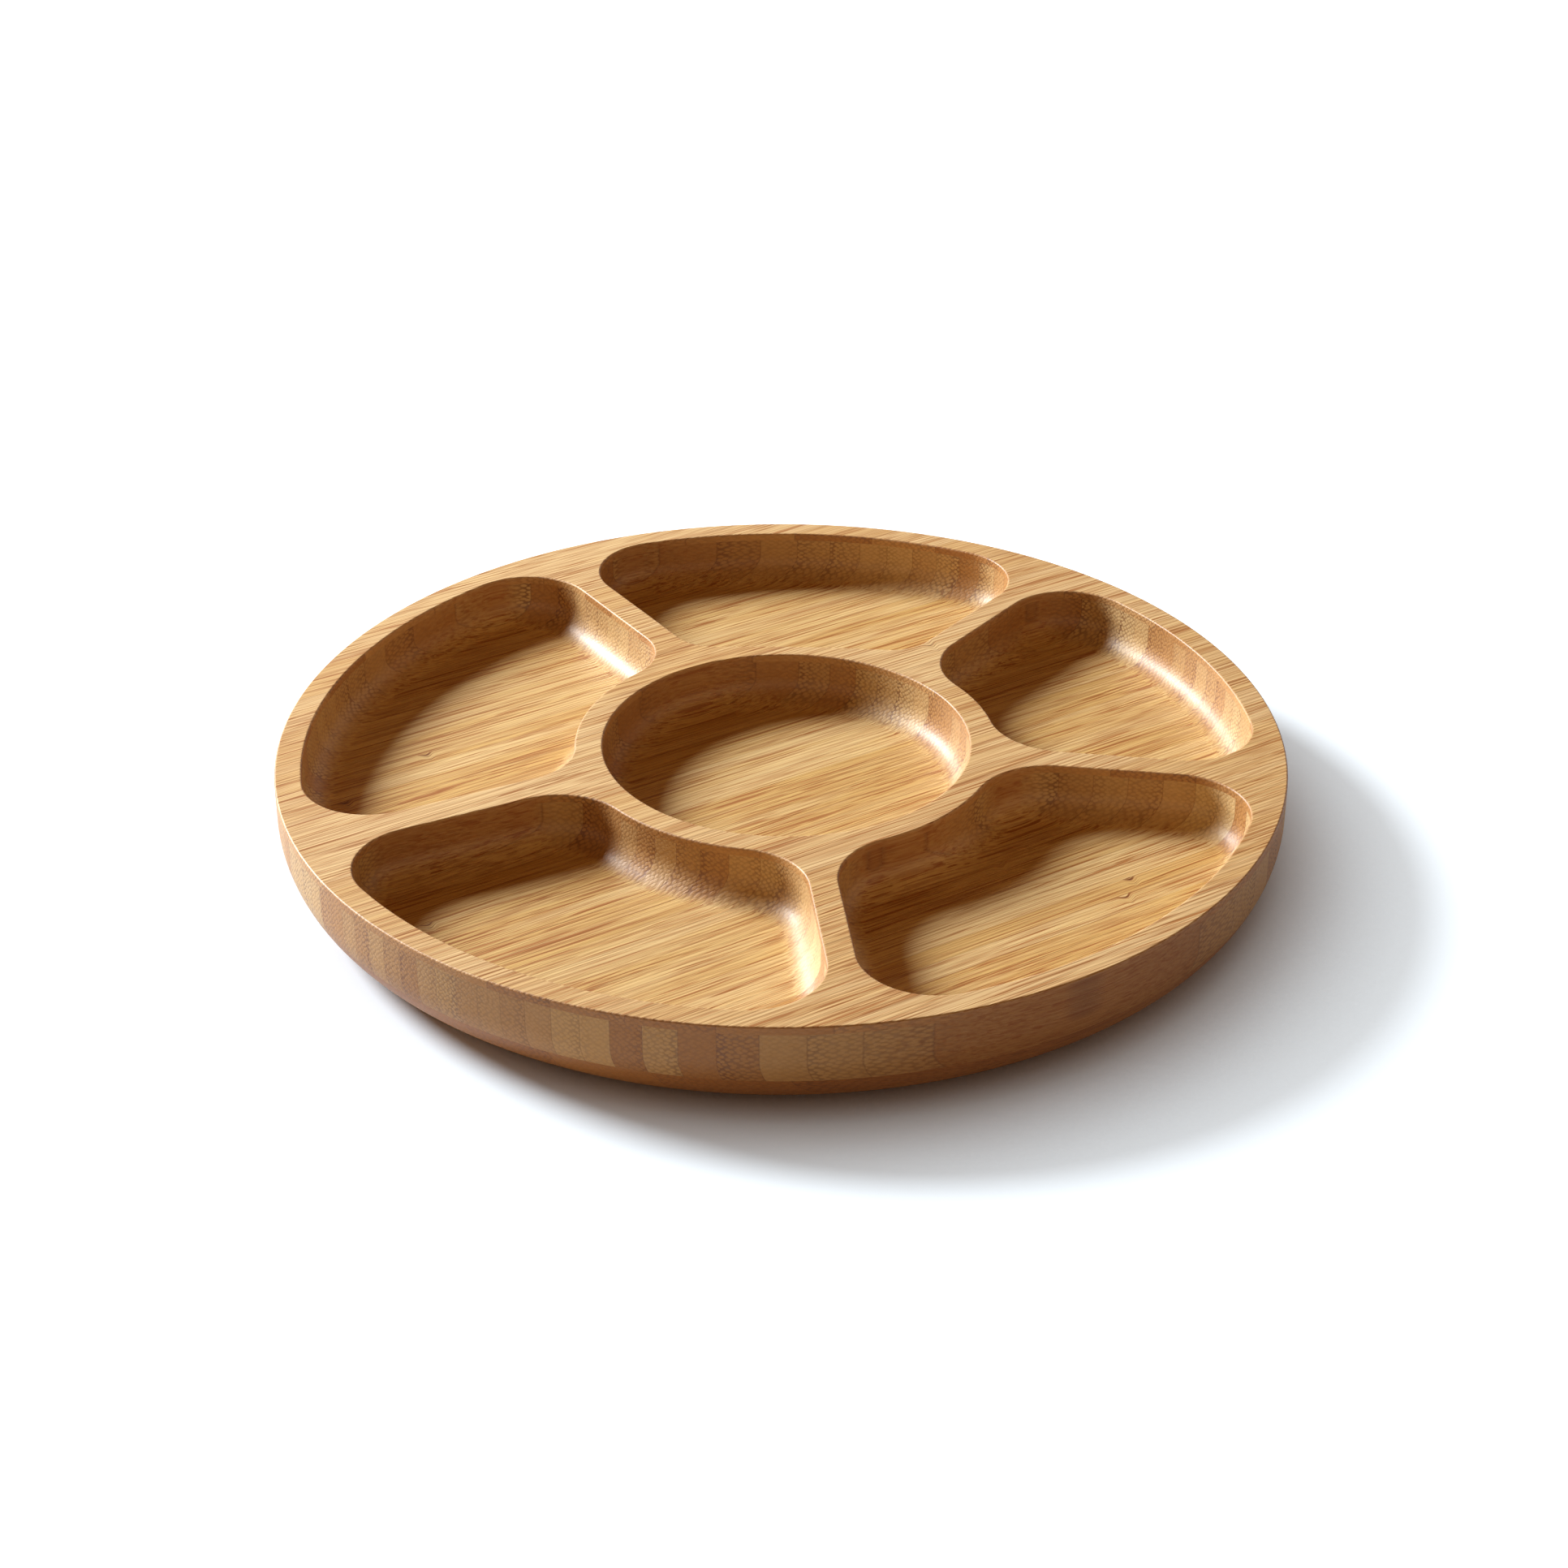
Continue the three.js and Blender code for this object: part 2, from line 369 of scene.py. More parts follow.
# %% Saw a solid at a plane
SAW_PRECISION = 0.001


def saw(bm, point, normal):
    """Drop what lies in front of a plane and close the cut with flat faces."""
    everything = bm.verts[:] + bm.edges[:] + bm.faces[:]
    bmesh.ops.bisect_plane(
        bm, geom=everything, dist=SAW_PRECISION, plane_co=point, plane_no=normal, clear_outer=True
    )
    cut = [edge for edge in bm.edges if edge.is_boundary]
    for edge in cut:
        edge.smooth = False
    bmesh.ops.triangle_fill(bm, edges=cut, normal=normal)


def between(bm, low, high, axis):
    """A copy of a solid, sawn to the part between two places along an axis."""
    part = bm.copy()
    saw(part, axis * high, axis)
    saw(part, axis * low, -axis)
    return part


# %% [markdown]
# ## Bamboo
# Bamboo has no rings or rays. It is bundles of pale fibres, about a millimetre apart, in a darker soft
# tissue. Cut lengthwise, it shows fine streaks. Cut across, the bundles show as staggered pale dots in a
# dark net. An image could show one or the other. A solid pattern does both, because every cut through it
# shows what lies there. The patterns read Object coordinates, which are metres here, and turn them into
# millimetres first.

# %% Turn a colour code into a linear colour
def to_linear(code):
    """Turn an sRGB hex colour into the linear colour that a shader works in."""
    shares = [int(code[i:i + 2], 16) / 255 for i in (1, 3, 5)]
    light = [s / 12.92 if s <= 0.04045 else ((s + 0.055) / 1.055) ** 2.4 for s in shares]
    return (*light, 1.0)


# %% Add a shader node
# A Mix node keeps a set of sockets for each kind of data. These are its sockets for colours.
MIX_FROM = 6
MIX_TO = 7
MIXED = 2


def add_node(tree, kind, inputs, **settings):
    """Add a node with its settings, and give each input a plain value or a link."""
    node = tree.nodes.new(kind)
    for name, value in settings.items():
        setattr(node, name, value)
    for socket, value in inputs.items():
        if isinstance(value, bpy.types.NodeSocket):
            tree.links.new(value, node.inputs[socket])
        else:
            node.inputs[socket].default_value = value
    return node.outputs


# %% [markdown]
# ## Strips side by side
# Each strip of a ply comes from another stem, so the look of the board changes at every glue line. A
# material for each strip would show that too, but the face ply is one sheet. Here the shader numbers the
# strips across the board, and a noise that reads the number alone deals every strip its own chances.

# %% Find the strip that a point lies in
def find_strip(tree, y, pitch, seed):
    """How far across its strip a point lies, the strip's seed, and the three chances dealt to the strip."""
    row = add_node(tree, "ShaderNodeMath", {
        0: y, 1: 1 / pitch, 2: board_radius / pitch,
    }, operation="MULTIPLY_ADD")
    number = add_node(tree, "ShaderNodeMath", {0: row[0]}, operation="FLOOR")
    across = add_node(tree, "ShaderNodeMath", {0: row[0]}, operation="FRACT")
    strip_seed = add_node(tree, "ShaderNodeMath", {0: number[0], 1: seed}, operation="ADD")
    chances = add_node(tree, "ShaderNodeTexWhiteNoise", {"W": strip_seed[0]}, noise_dimensions="1D")
    return across[0], strip_seed[0], chances["Color"]


# %% [markdown]
# ## Knuckles
# A bamboo stem has a knuckle every few decimetres, where the fibres swerve and darken. In a strip it shows
# as a small dark mark on one side. Few show on this tray, so each strip gets one at a chance place along a
# whole metre, and most of them fall beside the tray.

# %% Place the knuckle of a strip
KNUCKLE_SEED = 0.37
KNUCKLE_SPREAD = 1000.0
KNUCKLE_REACH = 3.0
KNUCKLE_SIDE = 0.6
KNUCKLE_FADE = 1.2


def find_knuckle(tree, x, across, strip_seed):
    """How close a point is to the knuckle of its strip, and the chance that placed the knuckle."""
    seed = add_node(tree, "ShaderNodeMath", {0: strip_seed, 1: KNUCKLE_SEED}, operation="ADD")
    chance = add_node(tree, "ShaderNodeTexWhiteNoise", {"W": seed[0]}, noise_dimensions="1D")
    middle = add_node(tree, "ShaderNodeMapRange", {
        "Value": chance["Value"], "To Min": -KNUCKLE_SPREAD / 2, "To Max": KNUCKLE_SPREAD / 2,
    })
    along = add_node(tree, "ShaderNodeMath", {0: x, 1: middle[0]}, operation="SUBTRACT")
    gap = add_node(tree, "ShaderNodeMath", {0: along[0]}, operation="ABSOLUTE")
    aside = add_node(tree, "ShaderNodeMapRange", {
        "Value": across, "From Max": KNUCKLE_SIDE, "To Min": KNUCKLE_FADE, "To Max": 0.0,
    }, interpolation_type="SMOOTHSTEP")
    distance = add_node(tree, "ShaderNodeMath", {
        0: aside[0], 1: KNUCKLE_REACH, 2: gap[0],
    }, operation="MULTIPLY_ADD")
    closeness = add_node(tree, "ShaderNodeMapRange", {
        "Value": distance[0], "From Min": KNUCKLE_REACH, "From Max": 0.0,
    }, interpolation_type="SMOOTHSTEP")
    return closeness[0], chance["Value"]


# %% [markdown]
# ## A stem for each strip
# The patterns that follow are drawn once, in one endless stem. Every strip takes its slice from another
# place in it. A saw never follows the fibres quite, so a strip also leans a little, and its fibres rise
# or sink along X.

# %% Find a point's place in its stem
STEM_SPREAD = 400.0
LARGEST_SLANT = 0.03
KNUCKLE_SWERVE = 1.4


def place_in_stem(tree, in_mm, chances, lean, knuckle):
    """A point's place in the stem of its strip, in millimetres with the fibres along X."""
    x = add_node(tree, "ShaderNodeSeparateXYZ", {0: in_mm})["X"]
    start = add_node(tree, "ShaderNodeVectorMath", {0: chances, "Scale": STEM_SPREAD}, operation="SCALE")
    own = add_node(tree, "ShaderNodeVectorMath", {0: in_mm, 1: start[0]}, operation="ADD")
    own_axes = add_node(tree, "ShaderNodeSeparateXYZ", {0: own[0]})
    slant = add_node(tree, "ShaderNodeMapRange", {
        "Value": lean, "To Min": -LARGEST_SLANT, "To Max": LARGEST_SLANT,
    })
    rise = add_node(tree, "ShaderNodeMath", {
        0: x, 1: slant[0], 2: own_axes["Z"],
    }, operation="MULTIPLY_ADD")
    swerve = add_node(tree, "ShaderNodeMath", {
        0: knuckle, 1: KNUCKLE_SWERVE, 2: own_axes["Y"],
    }, operation="MULTIPLY_ADD")
    stem = add_node(tree, "ShaderNodeCombineXYZ", {"X": own_axes["X"], "Y": swerve[0], "Z": rise[0]})
    return stem[0]


# %% [markdown]
# ## The end grain
# Where the router cut across the fibres, the bundles stand in staggered rows. Voronoi cells at half their
# randomness give such rows, and the distance to a cell's middle parts the pale bundle from the dark net
# round it. The cells are flat, across the stem, so that a bundle runs on along it. A slow noise lets the
# bundles wander.

# %% Draw the net between the bundles
BUNDLE_SPACING = 1.1
BUNDLE_STRAY = 0.5
BUNDLE_EDGE = (0.26, 0.56)
STAGGER = math.radians(45)
WANDER = 1.2
WANDER_WIDTH = 9.0
WANDER_LENGTH = 70.0


def draw_net(tree, stem):
    """The share of dark tissue at a point: none in a bundle, all of it between the bundles."""
    slow = add_node(tree, "ShaderNodeVectorMath", {
        0: stem, 1: (1 / WANDER_LENGTH, 1 / WANDER_WIDTH, 1 / WANDER_WIDTH),
    }, operation="MULTIPLY")
    drift = add_node(tree, "ShaderNodeTexNoise", {"Vector": slow[0], "Scale": 1.0, "Detail": 0.0})
    bent = add_node(tree, "ShaderNodeVectorMath", {
        0: drift["Color"], 1: (0, WANDER, WANDER), 2: stem,
    }, operation="MULTIPLY_ADD")
    bent_axes = add_node(tree, "ShaderNodeSeparateXYZ", {0: bent[0]})
    section = add_node(tree, "ShaderNodeCombineXYZ", {"X": bent_axes["Y"], "Y": bent_axes["Z"]})
    staggered = add_node(tree, "ShaderNodeMapping", {
        "Vector": section[0],
        "Rotation": (0, 0, STAGGER),
        "Scale": (1 / BUNDLE_SPACING, 1 / BUNDLE_SPACING, 1),
    })
    cells = add_node(tree, "ShaderNodeTexVoronoi", {
        "Vector": staggered[0], "Scale": 1.0, "Randomness": BUNDLE_STRAY,
    }, voronoi_dimensions="2D")
    net = add_node(tree, "ShaderNodeMapRange", {
        "Value": cells["Distance"], "From Min": BUNDLE_EDGE[0], "From Max": BUNDLE_EDGE[1],
    }, interpolation_type="SMOOTHSTEP")
    return net[0]


# %% [markdown]
# The end grain is darker towards the skin of the stem, where the bundles stand closest. The skin lies on
# one side of a strip or the other. The model leaves the bundles where they are and darkens the net
# instead. Some strips show the net strongly and others weakly, so each strip has its own strength too.

# %% Colour the end grain
SKIN_DEPTH = 0.55
NET_INSIDE = 0.6
NET_LEAST = 0.25


def colour_end_grain(tree, palette, net, across, tone, skin_side, strip_chance, dots):
    """The colour of a cut across the fibres."""
    skin = add_node(tree, "ShaderNodeMath", {0: skin_side}, operation="ROUND")
    from_skin = add_node(tree, "ShaderNodeMath", {0: across, 1: skin[0]}, operation="SUBTRACT")
    depth = add_node(tree, "ShaderNodeMath", {0: from_skin[0]}, operation="ABSOLUTE")
    near_skin = add_node(tree, "ShaderNodeMapRange", {
        "Value": depth[0], "From Min": SKIN_DEPTH, "From Max": 0.0,
    }, interpolation_type="SMOOTHSTEP")
    skin_share = add_node(tree, "ShaderNodeMapRange", {
        "Value": near_skin[0], "To Min": NET_INSIDE, "To Max": 1.0,
    })
    strip_share = add_node(tree, "ShaderNodeMapRange", {
        "Value": strip_chance, "To Min": NET_LEAST * dots, "To Max": dots,
    })
    strength = add_node(tree, "ShaderNodeMath", {0: skin_share[0], 1: strip_share[0]}, operation="MULTIPLY")
    net_share = add_node(tree, "ShaderNodeMath", {0: net, 1: strength[0]}, operation="MULTIPLY")
    ground = add_node(tree, "ShaderNodeMix", {
        "Factor": tone, MIX_FROM: palette["end_pale"], MIX_TO: palette["end_warm"],
    }, data_type="RGBA")
    grain = add_node(tree, "ShaderNodeMix", {
        "Factor": net_share[0], MIX_FROM: ground[MIXED], MIX_TO: palette["end_dark"],
    }, data_type="RGBA")
    return grain[MIXED]


# %% [markdown]
# ## The streaks
# Along the fibres the board shows fine fibres everywhere, and darker streaks that lie thick in some
# patches and thin in others. All three are noise, drawn out along the stem. A real fibre is thinner than
# a hair, too fine to show in the render, so the fibres and streaks are drawn as coarse as they need to
# show.

# %% Draw the streaks
FIBRE_EDGE = (0.47, 0.6)
FIBRE_STRENGTH = 0.5
STREAK_WIDTH = 0.8
STREAK_LENGTH = 60.0
STREAK_EDGE = (0.54, 0.6)
STREAK_RAGGEDNESS = 0.65
PATCH_EDGE = (0.38, 0.6)
PATCH_LEAST = 0.3


def draw_out(tree, stem, width, length, detail, raggedness=0.5):
    """Noise that is drawn out along the fibres."""
    place = add_node(tree, "ShaderNodeVectorMath", {
        0: stem, 1: (1 / length, 1 / width, 1 / width),
    }, operation="MULTIPLY")
    noise = add_node(tree, "ShaderNodeTexNoise", {
        "Vector": place[0], "Scale": 1.0, "Detail": detail, "Roughness": raggedness,
    })
    return noise["Fac"]


def draw_streaks(tree, stem, fibres, patches, knuckle):
    """The share of streak at a point, and how much of it is the dark mark of a knuckle."""
    veins = draw_out(tree, stem, STREAK_WIDTH, STREAK_LENGTH, detail=2.0, raggedness=STREAK_RAGGEDNESS)
    fibre_share = add_node(tree, "ShaderNodeMapRange", {
        "Value": fibres, "From Min": FIBRE_EDGE[0], "From Max": FIBRE_EDGE[1], "To Max": FIBRE_STRENGTH,
    })
    vein_share = add_node(tree, "ShaderNodeMapRange", {
        "Value": veins, "From Min": STREAK_EDGE[0], "From Max": STREAK_EDGE[1],
    })
    patch_share = add_node(tree, "ShaderNodeMapRange", {
        "Value": patches, "From Min": PATCH_EDGE[0], "From Max": PATCH_EDGE[1], "To Min": PATCH_LEAST,
    })
    dark_veins = add_node(tree, "ShaderNodeMath", {
        0: vein_share[0], 1: patch_share[0],
    }, operation="MULTIPLY")
    knuckle_mark = add_node(tree, "ShaderNodeMath", {0: knuckle, 1: vein_share[0]}, operation="MULTIPLY")
    drawn = add_node(tree, "ShaderNodeMath", {0: dark_veins[0], 1: knuckle_mark[0]}, operation="MAXIMUM")
    streaks = add_node(tree, "ShaderNodeMath", {
        0: drawn[0], 1: fibre_share[0],
    }, operation="ADD", use_clamp=True)
    return streaks[0], knuckle_mark[0]


# %% [markdown]
# ## The direction of a cut, and painted wall shade
# The surface itself says how it was cut. Its normal points along the fibres where the cut goes squarely
# across them. Where the normal lies level, the surface is a wall, and a wall is painted deeper and warmer,
# as painted shade. A vertex colour could mark the same places, but the normal needs no painting.

# %% Read the direction of a cut and the painted wall shade
ACROSS_EDGE = (0.08, 0.5)
# How upright a surface must be to get painted shade, and how strong that painted shade is
PAINTED_SHADE_WALL_EDGE = (0.75, 0.1)
PAINTED_SHADE_STRENGTH = 0.8


def read_cut(tree, normal):
    """How squarely a surface cuts the fibres, and how much painted shade it gets as a wall."""
    facing = add_node(tree, "ShaderNodeSeparateXYZ", {0: normal})
    squareness = add_node(tree, "ShaderNodeMath", {0: facing["X"]}, operation="ABSOLUTE")
    end_share = add_node(tree, "ShaderNodeMapRange", {
        "Value": squareness[0], "From Min": ACROSS_EDGE[0], "From Max": ACROSS_EDGE[1],
    }, interpolation_type="SMOOTHSTEP")
    flatness = add_node(tree, "ShaderNodeMath", {0: facing["Z"]}, operation="ABSOLUTE")
    painted_wall_shade = add_node(tree, "ShaderNodeMapRange", {
        "Value": flatness[0], "From Min": PAINTED_SHADE_WALL_EDGE[0], "From Max": PAINTED_SHADE_WALL_EDGE[1], "To Max": PAINTED_SHADE_STRENGTH,
    }, interpolation_type="SMOOTHSTEP")
    return end_share[0], painted_wall_shade[0]


# %% Colour the long grain
TONE_EDGE = (0.35, 0.65)
TONE_SWING = 0.35


def colour_long_grain(tree, palette, tone, patches, painted_wall_shade, streaks, knuckle_mark):
    """The colour of a cut along the fibres, with painted shade on the walls."""
    patch_tone = add_node(tree, "ShaderNodeMapRange", {
        "Value": patches,
        "From Min": TONE_EDGE[0],
        "From Max": TONE_EDGE[1],
        "To Min": -TONE_SWING,
        "To Max": TONE_SWING,
    })
    own_tone = add_node(tree, "ShaderNodeMath", {0: tone, 1: patch_tone[0]}, operation="ADD", use_clamp=True)
    flat = add_node(tree, "ShaderNodeMix", {
        "Factor": own_tone[0], MIX_FROM: palette["pale"], MIX_TO: palette["warm"],
    }, data_type="RGBA")
    # Painted shade: walls take the warm end-grain colour
    ground = add_node(tree, "ShaderNodeMix", {
        "Factor": painted_wall_shade, MIX_FROM: flat[MIXED], MIX_TO: palette["end_warm"],
    }, data_type="RGBA")
    streaked = add_node(tree, "ShaderNodeMix", {
        "Factor": streaks, MIX_FROM: ground[MIXED], MIX_TO: palette["streak"],
    }, data_type="RGBA")
    grain = add_node(tree, "ShaderNodeMix", {
        "Factor": knuckle_mark, MIX_FROM: streaked[MIXED], MIX_TO: palette["end_dark"],
    }, data_type="RGBA")
    return grain[MIXED]


# %% [markdown]
# ## Glue and lacquer
# A hairline of dark glue shows between two strips. It is drawn in the colour, because a groove that fine
# would need far too many faces. The lacquer is a satin coat. It is a little drier over the streaks, and
# it follows the relief of the fibres, which a fingertip just feels.

# %% Draw the glue lines
SEAM_WIDTH = 0.35
SEAM_STRENGTH = 0.4


def glue_share(tree, across, pitch):
    """The share of glue at a point, on both sides of a strip."""
    other_side = add_node(tree, "ShaderNodeMath", {0: 1.0, 1: across}, operation="SUBTRACT")
    to_seam = add_node(tree, "ShaderNodeMath", {0: across, 1: other_side[0]}, operation="MINIMUM")
    seam = add_node(tree, "ShaderNodeMapRange", {
        "Value": to_seam[0], "From Min": SEAM_WIDTH / 2 / pitch, "From Max": 0.0, "To Max": SEAM_STRENGTH,
    })
    return seam[0]


# %% Lacquer the bamboo
SATIN_ROUGHNESS = 0.54
DRY_ROUGHNESS = 0.64
RELIEF_HEIGHT = 0.1 * MM
RELIEF_STRENGTH = 0.5
LACQUER = {"IOR": 1.5, "Specular IOR Level": 0.7, "Coat Weight": 0.5, "Coat Roughness": 0.4}


def lacquer(tree, colour, streaks, fibres, net):
    """Give the shader its colour, its gloss and the relief of the fibres."""
    shader = tree.nodes["Principled BSDF"]
    roughness = add_node(tree, "ShaderNodeMapRange", {
        "Value": streaks, "To Min": SATIN_ROUGHNESS, "To Max": DRY_ROUGHNESS,
    })
    relief = add_node(tree, "ShaderNodeMath", {0: fibres, 1: net}, operation="SUBTRACT")
    bump = add_node(tree, "ShaderNodeBump", {
        "Height": relief[0], "Strength": RELIEF_STRENGTH, "Distance": RELIEF_HEIGHT,
    })
    tree.links.new(colour, shader.inputs["Base Color"])
    tree.links.new(roughness[0], shader.inputs["Roughness"])
    tree.links.new(bump[0], shader.inputs["Normal"])
    for socket, value in LACQUER.items():
        shader.inputs[socket].default_value = value


# %% [markdown]
# ## Three plies of bamboo
# The same steps make all three plies. They differ in the width of their strips, their seed, their colours
# and how strongly the dots of the end grain stand out.

# %% Make the bamboo of one ply
FIBRE_WIDTH = 0.5
FIBRE_LENGTH = 40.0
PATCH_WIDTH = 4.5
PATCH_LENGTH = 80.0


def laminated_bamboo(name, pitch, seed, dots, **colours):
    """Lacquered bamboo strips of one width, glued side by side across the fibres."""
    material = bpy.data.materials.new(name)
    material.use_nodes = True
    tree = material.node_tree
    palette = {part: to_linear(code) for part, code in colours.items()}
    place = add_node(tree, "ShaderNodeTexCoord", {})
    in_mm = add_node(tree, "ShaderNodeVectorMath", {0: place["Object"], "Scale": 1 / MM}, operation="SCALE")
    axes = add_node(tree, "ShaderNodeSeparateXYZ", {0: in_mm[0]})
    across, strip_seed, chances = find_strip(tree, axes["Y"], pitch, seed)
    dealt = add_node(tree, "ShaderNodeSeparateColor", {0: chances})
    tone, lean, skin_side = dealt["Red"], dealt["Green"], dealt["Blue"]
    knuckle, knuckle_chance = find_knuckle(tree, axes["X"], across, strip_seed)
    stem = place_in_stem(tree, in_mm[0], chances, lean, knuckle)
    net = draw_net(tree, stem)
    fibres = draw_out(tree, stem, FIBRE_WIDTH, FIBRE_LENGTH, detail=1.0)
    patches = draw_out(tree, stem, PATCH_WIDTH, PATCH_LENGTH, detail=1.0)
    streaks, knuckle_mark = draw_streaks(tree, stem, fibres, patches, knuckle)
    # The direction of the cut also gives the painted shade of the walls
    end_share, painted_wall_shade = read_cut(tree, place["Normal"])
    long_grain = colour_long_grain(tree, palette, tone, patches, painted_wall_shade, streaks, knuckle_mark)
    end_grain = colour_end_grain(tree, palette, net, across, tone, skin_side, knuckle_chance, dots)
    grain = add_node(tree, "ShaderNodeMix", {
        "Factor": end_share, MIX_FROM: long_grain, MIX_TO: end_grain,
    }, data_type="RGBA")
    glued = add_node(tree, "ShaderNodeMix", {
        "Factor": glue_share(tree, across, pitch), MIX_FROM: grain[MIXED], MIX_TO: palette["end_dark"],
    }, data_type="RGBA")
    lacquer(tree, glued[MIXED], streaks, fibres, net)
    return material


# %% Finish the three plies
FACE_PITCH = 16.7

# Flat strips, sanded: wide pale bands with fine brown streaks
face_bamboo = laminated_bamboo(
    "flat_laid_bamboo_sanded_and_lacquered", pitch=FACE_PITCH, seed=3.5, dots=0.7,
    pale="#EBCB92", warm="#E2BC7C", streak="#AC6F2C",
    end_pale="#D6AA6E", end_warm="#BE8A4C", end_dark="#6E3D12",
)
# Strips on edge, routed: narrow bands on the floors, and on the walls blocks of dots in uneven tones
core_bamboo = laminated_bamboo(
    "edge_laid_bamboo_routed_and_lacquered", pitch=core_pitch, seed=11.5, dots=0.8,
    pale="#EACD90", warm="#DDB870", streak="#AA6C2A",
    end_pale="#E0C48C", end_warm="#BD8B4E", end_dark="#774214",
)
# Wide strips, turned: a darker and more orange band under the side, with faint dots
base_bamboo = laminated_bamboo(
    "flat_laid_bamboo_turned_and_lacquered", pitch=base_pitch, seed=27.5, dots=0.5,
    pale="#D6A65C", warm="#C48C46", streak="#9C662A",
    end_pale="#CA9550", end_warm="#B2793C", end_dark="#65350D",
)
for ply in (face_bamboo, core_bamboo, base_bamboo):
    print("finish:", ply.name, "with", len(ply.node_tree.nodes), "nodes")

# %% [markdown]
# ## The pieces
# Each strip becomes an object of its own. It rides on the part's one body, replaces its plain CAD piece
# and names the finish that it takes. Its mesh is already in place, so the object stays at the origin.

# %% Make an object of a sawn piece
def make_piece(bm, node, material):
    """Turn a sawn solid into a named object that stands for a CAD node."""
    bmesh.ops.scale(bm, vec=(MM, MM, MM), verts=bm.verts[:])
    mesh = bpy.data.meshes.new("bamboo_" + node)
    bm.to_mesh(mesh)
    bm.free()
    mesh.materials.append(material)
    piece = bpy.data.objects.new("bamboo_" + node, mesh)
    bpy.context.scene.collection.objects.link(piece)
    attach(piece, "root")
    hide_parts(node)


# %% Saw the face ply
UP = Vector(Z_AXIS)

face_ply = board.copy()
saw(face_ply, UP * face_line, -UP)
print("face ply:", len(face_ply.faces), "faces")
make_piece(face_ply, "face_ply", face_bamboo)

# %% Saw the core and the base into their strips
ACROSS = Vector(Y_AXIS)


def saw_strips(ply, stem, count, pitch, material):
    """Saw a ply into its strips, from the -Y edge to the +Y edge."""
    for number in range(count):
        low = number * pitch - board_radius
        strip = between(ply, low, low + pitch, ACROSS)
        make_piece(strip, f"{stem}_{number + 1:02d}", material)
    ply.free()


core = between(board, base_line, face_line, UP)
saw_strips(core, "core_strip", core_count, core_pitch, core_bamboo)
saw(board, UP * base_line, UP)
saw_strips(board, "base_strip", base_count, base_pitch, base_bamboo)

# %% [markdown]
# ## The floor
# The tray stands on white paper, which has to run into the white of the picture and still hold a shadow.
# A brighter lamp would whiten the paper, but the tray with it. So the paper glows for the camera, and less
# for the lacquer that mirrors it. Ambient occlusion dims the glow where the tray closes in over the paper.
# Light that bounces off the floor comes from a plain warm tone, because white would wash out the shaded
# side.

# %% Lay the floor
FLOOR_RADIUS = 1.2
FLOOR_SIDES = 64
FLOOR_GAP = 0.1 * MM

floor_mesh = bmesh.new()
bmesh.ops.create_circle(floor_mesh, cap_ends=True, radius=FLOOR_RADIUS, segments=FLOOR_SIDES)
floor_data = bpy.data.meshes.new("floor")
floor_mesh.to_mesh(floor_data)
floor_mesh.free()
floor = bpy.data.objects.new("floor", floor_data)
floor.location.z = -FLOOR_GAP
bpy.context.scene.collection.objects.link(floor)
print("floor:", FLOOR_RADIUS, "metres to its edge")

# %% Paper the floor
PAPER_COLOUR = "#E2EEF8"
GLOW_COLOUR = "#E8F6FF"
BOUNCE_COLOUR = "#C8AA84"
GLOW = 0.88
MIRRORED_GLOW = 0.3
OPENNESS_REACH = 0.3
OPENNESS_SAMPLES = 8
OPENNESS_POWER = 2.8

# Matt paper: no gloss at all, and a cool white that the warm fill light turns nearly neutral
paper = bpy.data.materials.new("matt_white_paper")
paper.use_nodes = True
tree = paper.node_tree
tree.nodes.remove(tree.nodes["Principled BSDF"])
ray = add_node(tree, "ShaderNodeLightPath", {})
looked_at = add_node(tree, "ShaderNodeMath", {
    0: ray["Is Camera Ray"], 1: ray["Is Glossy Ray"],
}, operation="ADD")
seen = add_node(tree, "ShaderNodeMath", {
    0: looked_at[0], 1: ray["Is Transmission Ray"],
}, operation="ADD", use_clamp=True)
openness = add_node(tree, "ShaderNodeAmbientOcclusion", {
    "Distance": OPENNESS_REACH,
}, samples=OPENNESS_SAMPLES)
dimmed = add_node(tree, "ShaderNodeMath", {0: openness["AO"], 1: OPENNESS_POWER}, operation="POWER")
strength = add_node(tree, "ShaderNodeMapRange", {
    "Value": ray["Is Glossy Ray"], "To Min": GLOW, "To Max": MIRRORED_GLOW,
})
glow_level = add_node(tree, "ShaderNodeMath", {0: dimmed[0], 1: strength[0]}, operation="MULTIPLY")
glow = add_node(tree, "ShaderNodeEmission", {"Color": to_linear(GLOW_COLOUR), "Strength": glow_level[0]})
sheet = add_node(tree, "ShaderNodeBsdfDiffuse", {"Color": to_linear(PAPER_COLOUR)})
bright_sheet = add_node(tree, "ShaderNodeAddShader", {0: sheet[0], 1: glow[0]})
bounce = add_node(tree, "ShaderNodeBsdfDiffuse", {"Color": to_linear(BOUNCE_COLOUR)})
either = add_node(tree, "ShaderNodeMixShader", {0: seen[0], 1: bounce[0], 2: bright_sheet[0]})
tree.links.new(either[0], tree.nodes["Material Output"].inputs["Surface"])
floor_data.materials.append(paper)
print("paper:", len(tree.nodes), "nodes")

# %% [markdown]
# ## The lamp
# One lamp stands low to the left of the tray, a little behind it, and throws shadows across the wells. It
# is a wide disc, which softens their edges. A sun lamp would light every place alike, while a lamp close
# by, as in a small studio, lights the near side more.

# %% Light the tray
KEY_AZIMUTH = math.radians(116)
KEY_ELEVATION = math.radians(28.5)
KEY_DISTANCE = 2.6
KEY_DIAMETER = 0.9
KEY_POWER = 132.0

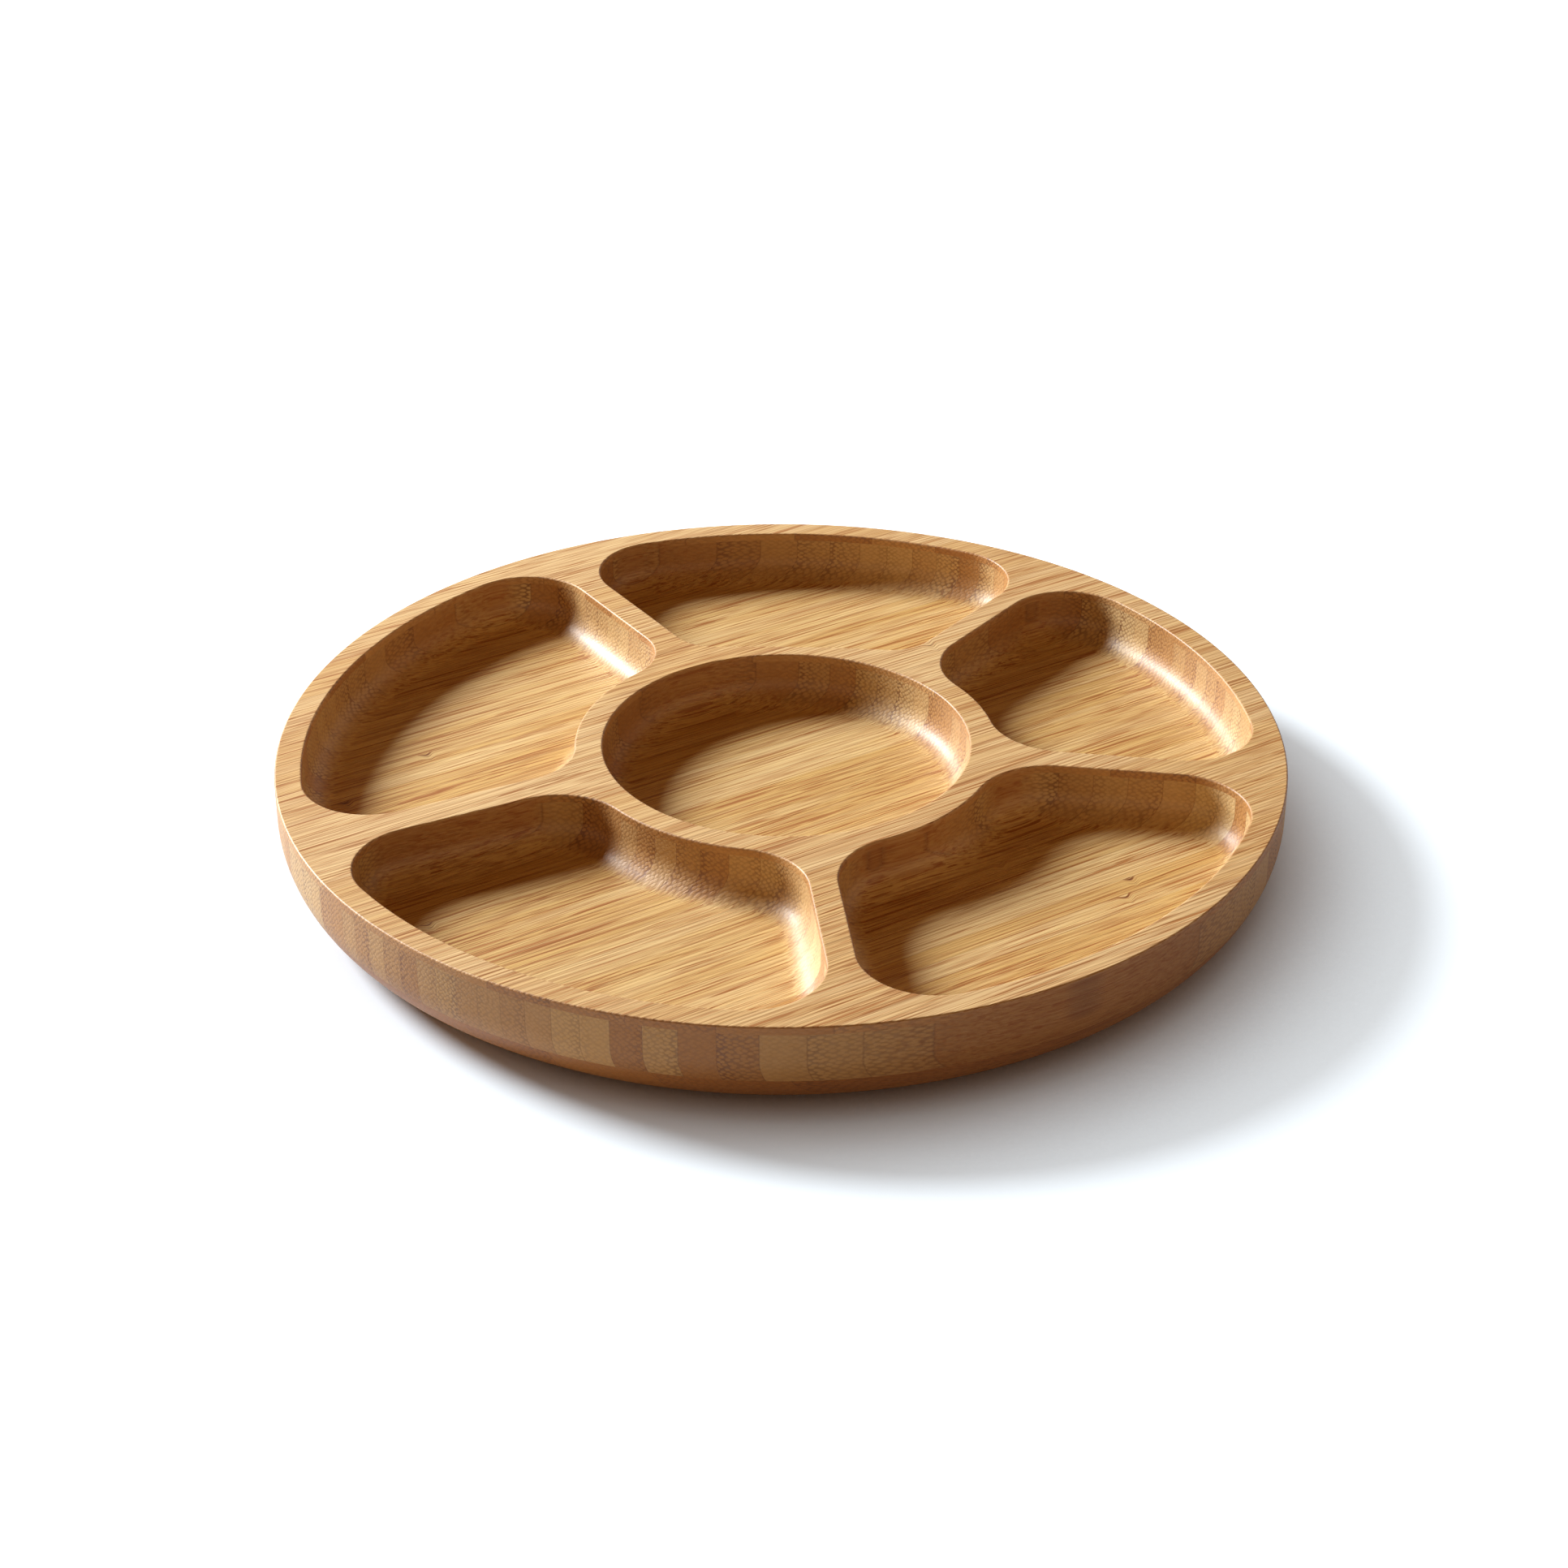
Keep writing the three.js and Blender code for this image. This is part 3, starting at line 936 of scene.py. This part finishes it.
key = bpy.data.objects.new("key_lamp", bpy.data.lights.new("key_lamp", "AREA"))
key.data.shape = "DISK"
key.data.size = KEY_DIAMETER
key.data.energy = KEY_POWER
towards_key = Vector((
    math.cos(KEY_AZIMUTH) * math.cos(KEY_ELEVATION),
    math.sin(KEY_AZIMUTH) * math.cos(KEY_ELEVATION),
    math.sin(KEY_ELEVATION),
))
key.location = face_centre + towards_key * KEY_DISTANCE
key.rotation_euler = (-towards_key).to_track_quat("-Z", "Y").to_euler()
bpy.context.scene.collection.objects.link(key)
print("lamp at", tuple(round(c, 2) for c in key.location))

# %% [markdown]
# ## The room
# The room fills the shade with a little warm light, as a room with wooden furniture does. The camera sees
# the room as white. The lacquer mirrors a white backdrop round the tray, which fades overhead, so that
# its gloss shows on the sides and doesn't veil the flat face.

# %% Fill the shade
AMBIENT = 0.155
FILL_COLOUR = "#FFB064"
BACKDROP_COLOUR = "#FFFFFF"
BACKDROP_TOP = math.radians(8)
BACKDROP_FADE = math.radians(30)

room = bpy.data.worlds.new("white_room")
bpy.context.scene.world = room
room.use_nodes = True
tree = room.node_tree
ray = add_node(tree, "ShaderNodeLightPath", {})
seen = add_node(tree, "ShaderNodeMath", {
    0: ray["Is Camera Ray"], 1: ray["Is Transmission Ray"],
}, operation="MAXIMUM")
direction = add_node(tree, "ShaderNodeTexCoord", {})
height = add_node(tree, "ShaderNodeSeparateXYZ", {0: direction["Generated"]})
backdrop = add_node(tree, "ShaderNodeMapRange", {
    "Value": height["Z"],
    "From Min": math.sin(BACKDROP_TOP),
    "From Max": math.sin(BACKDROP_FADE),
    "To Min": 1.0,
    "To Max": 0.0,
})
mirrored = add_node(tree, "ShaderNodeMath", {0: ray["Is Glossy Ray"], 1: backdrop[0]}, operation="MULTIPLY")
white = add_node(tree, "ShaderNodeMath", {0: seen[0], 1: mirrored[0]}, operation="MAXIMUM")
level = add_node(tree, "ShaderNodeMapRange", {"Value": white[0], "To Min": AMBIENT, "To Max": 1.0})
tint = add_node(tree, "ShaderNodeMix", {
    "Factor": white[0], MIX_FROM: to_linear(FILL_COLOUR), MIX_TO: to_linear(BACKDROP_COLOUR),
}, data_type="RGBA")
tree.links.new(level[0], tree.nodes["Background"].inputs["Strength"])
tree.links.new(tint[MIXED], tree.nodes["Background"].inputs["Color"])
bpy.context.scene.view_settings.view_transform = "Standard"
print("room:", len(tree.nodes), "nodes, fill", AMBIENT)
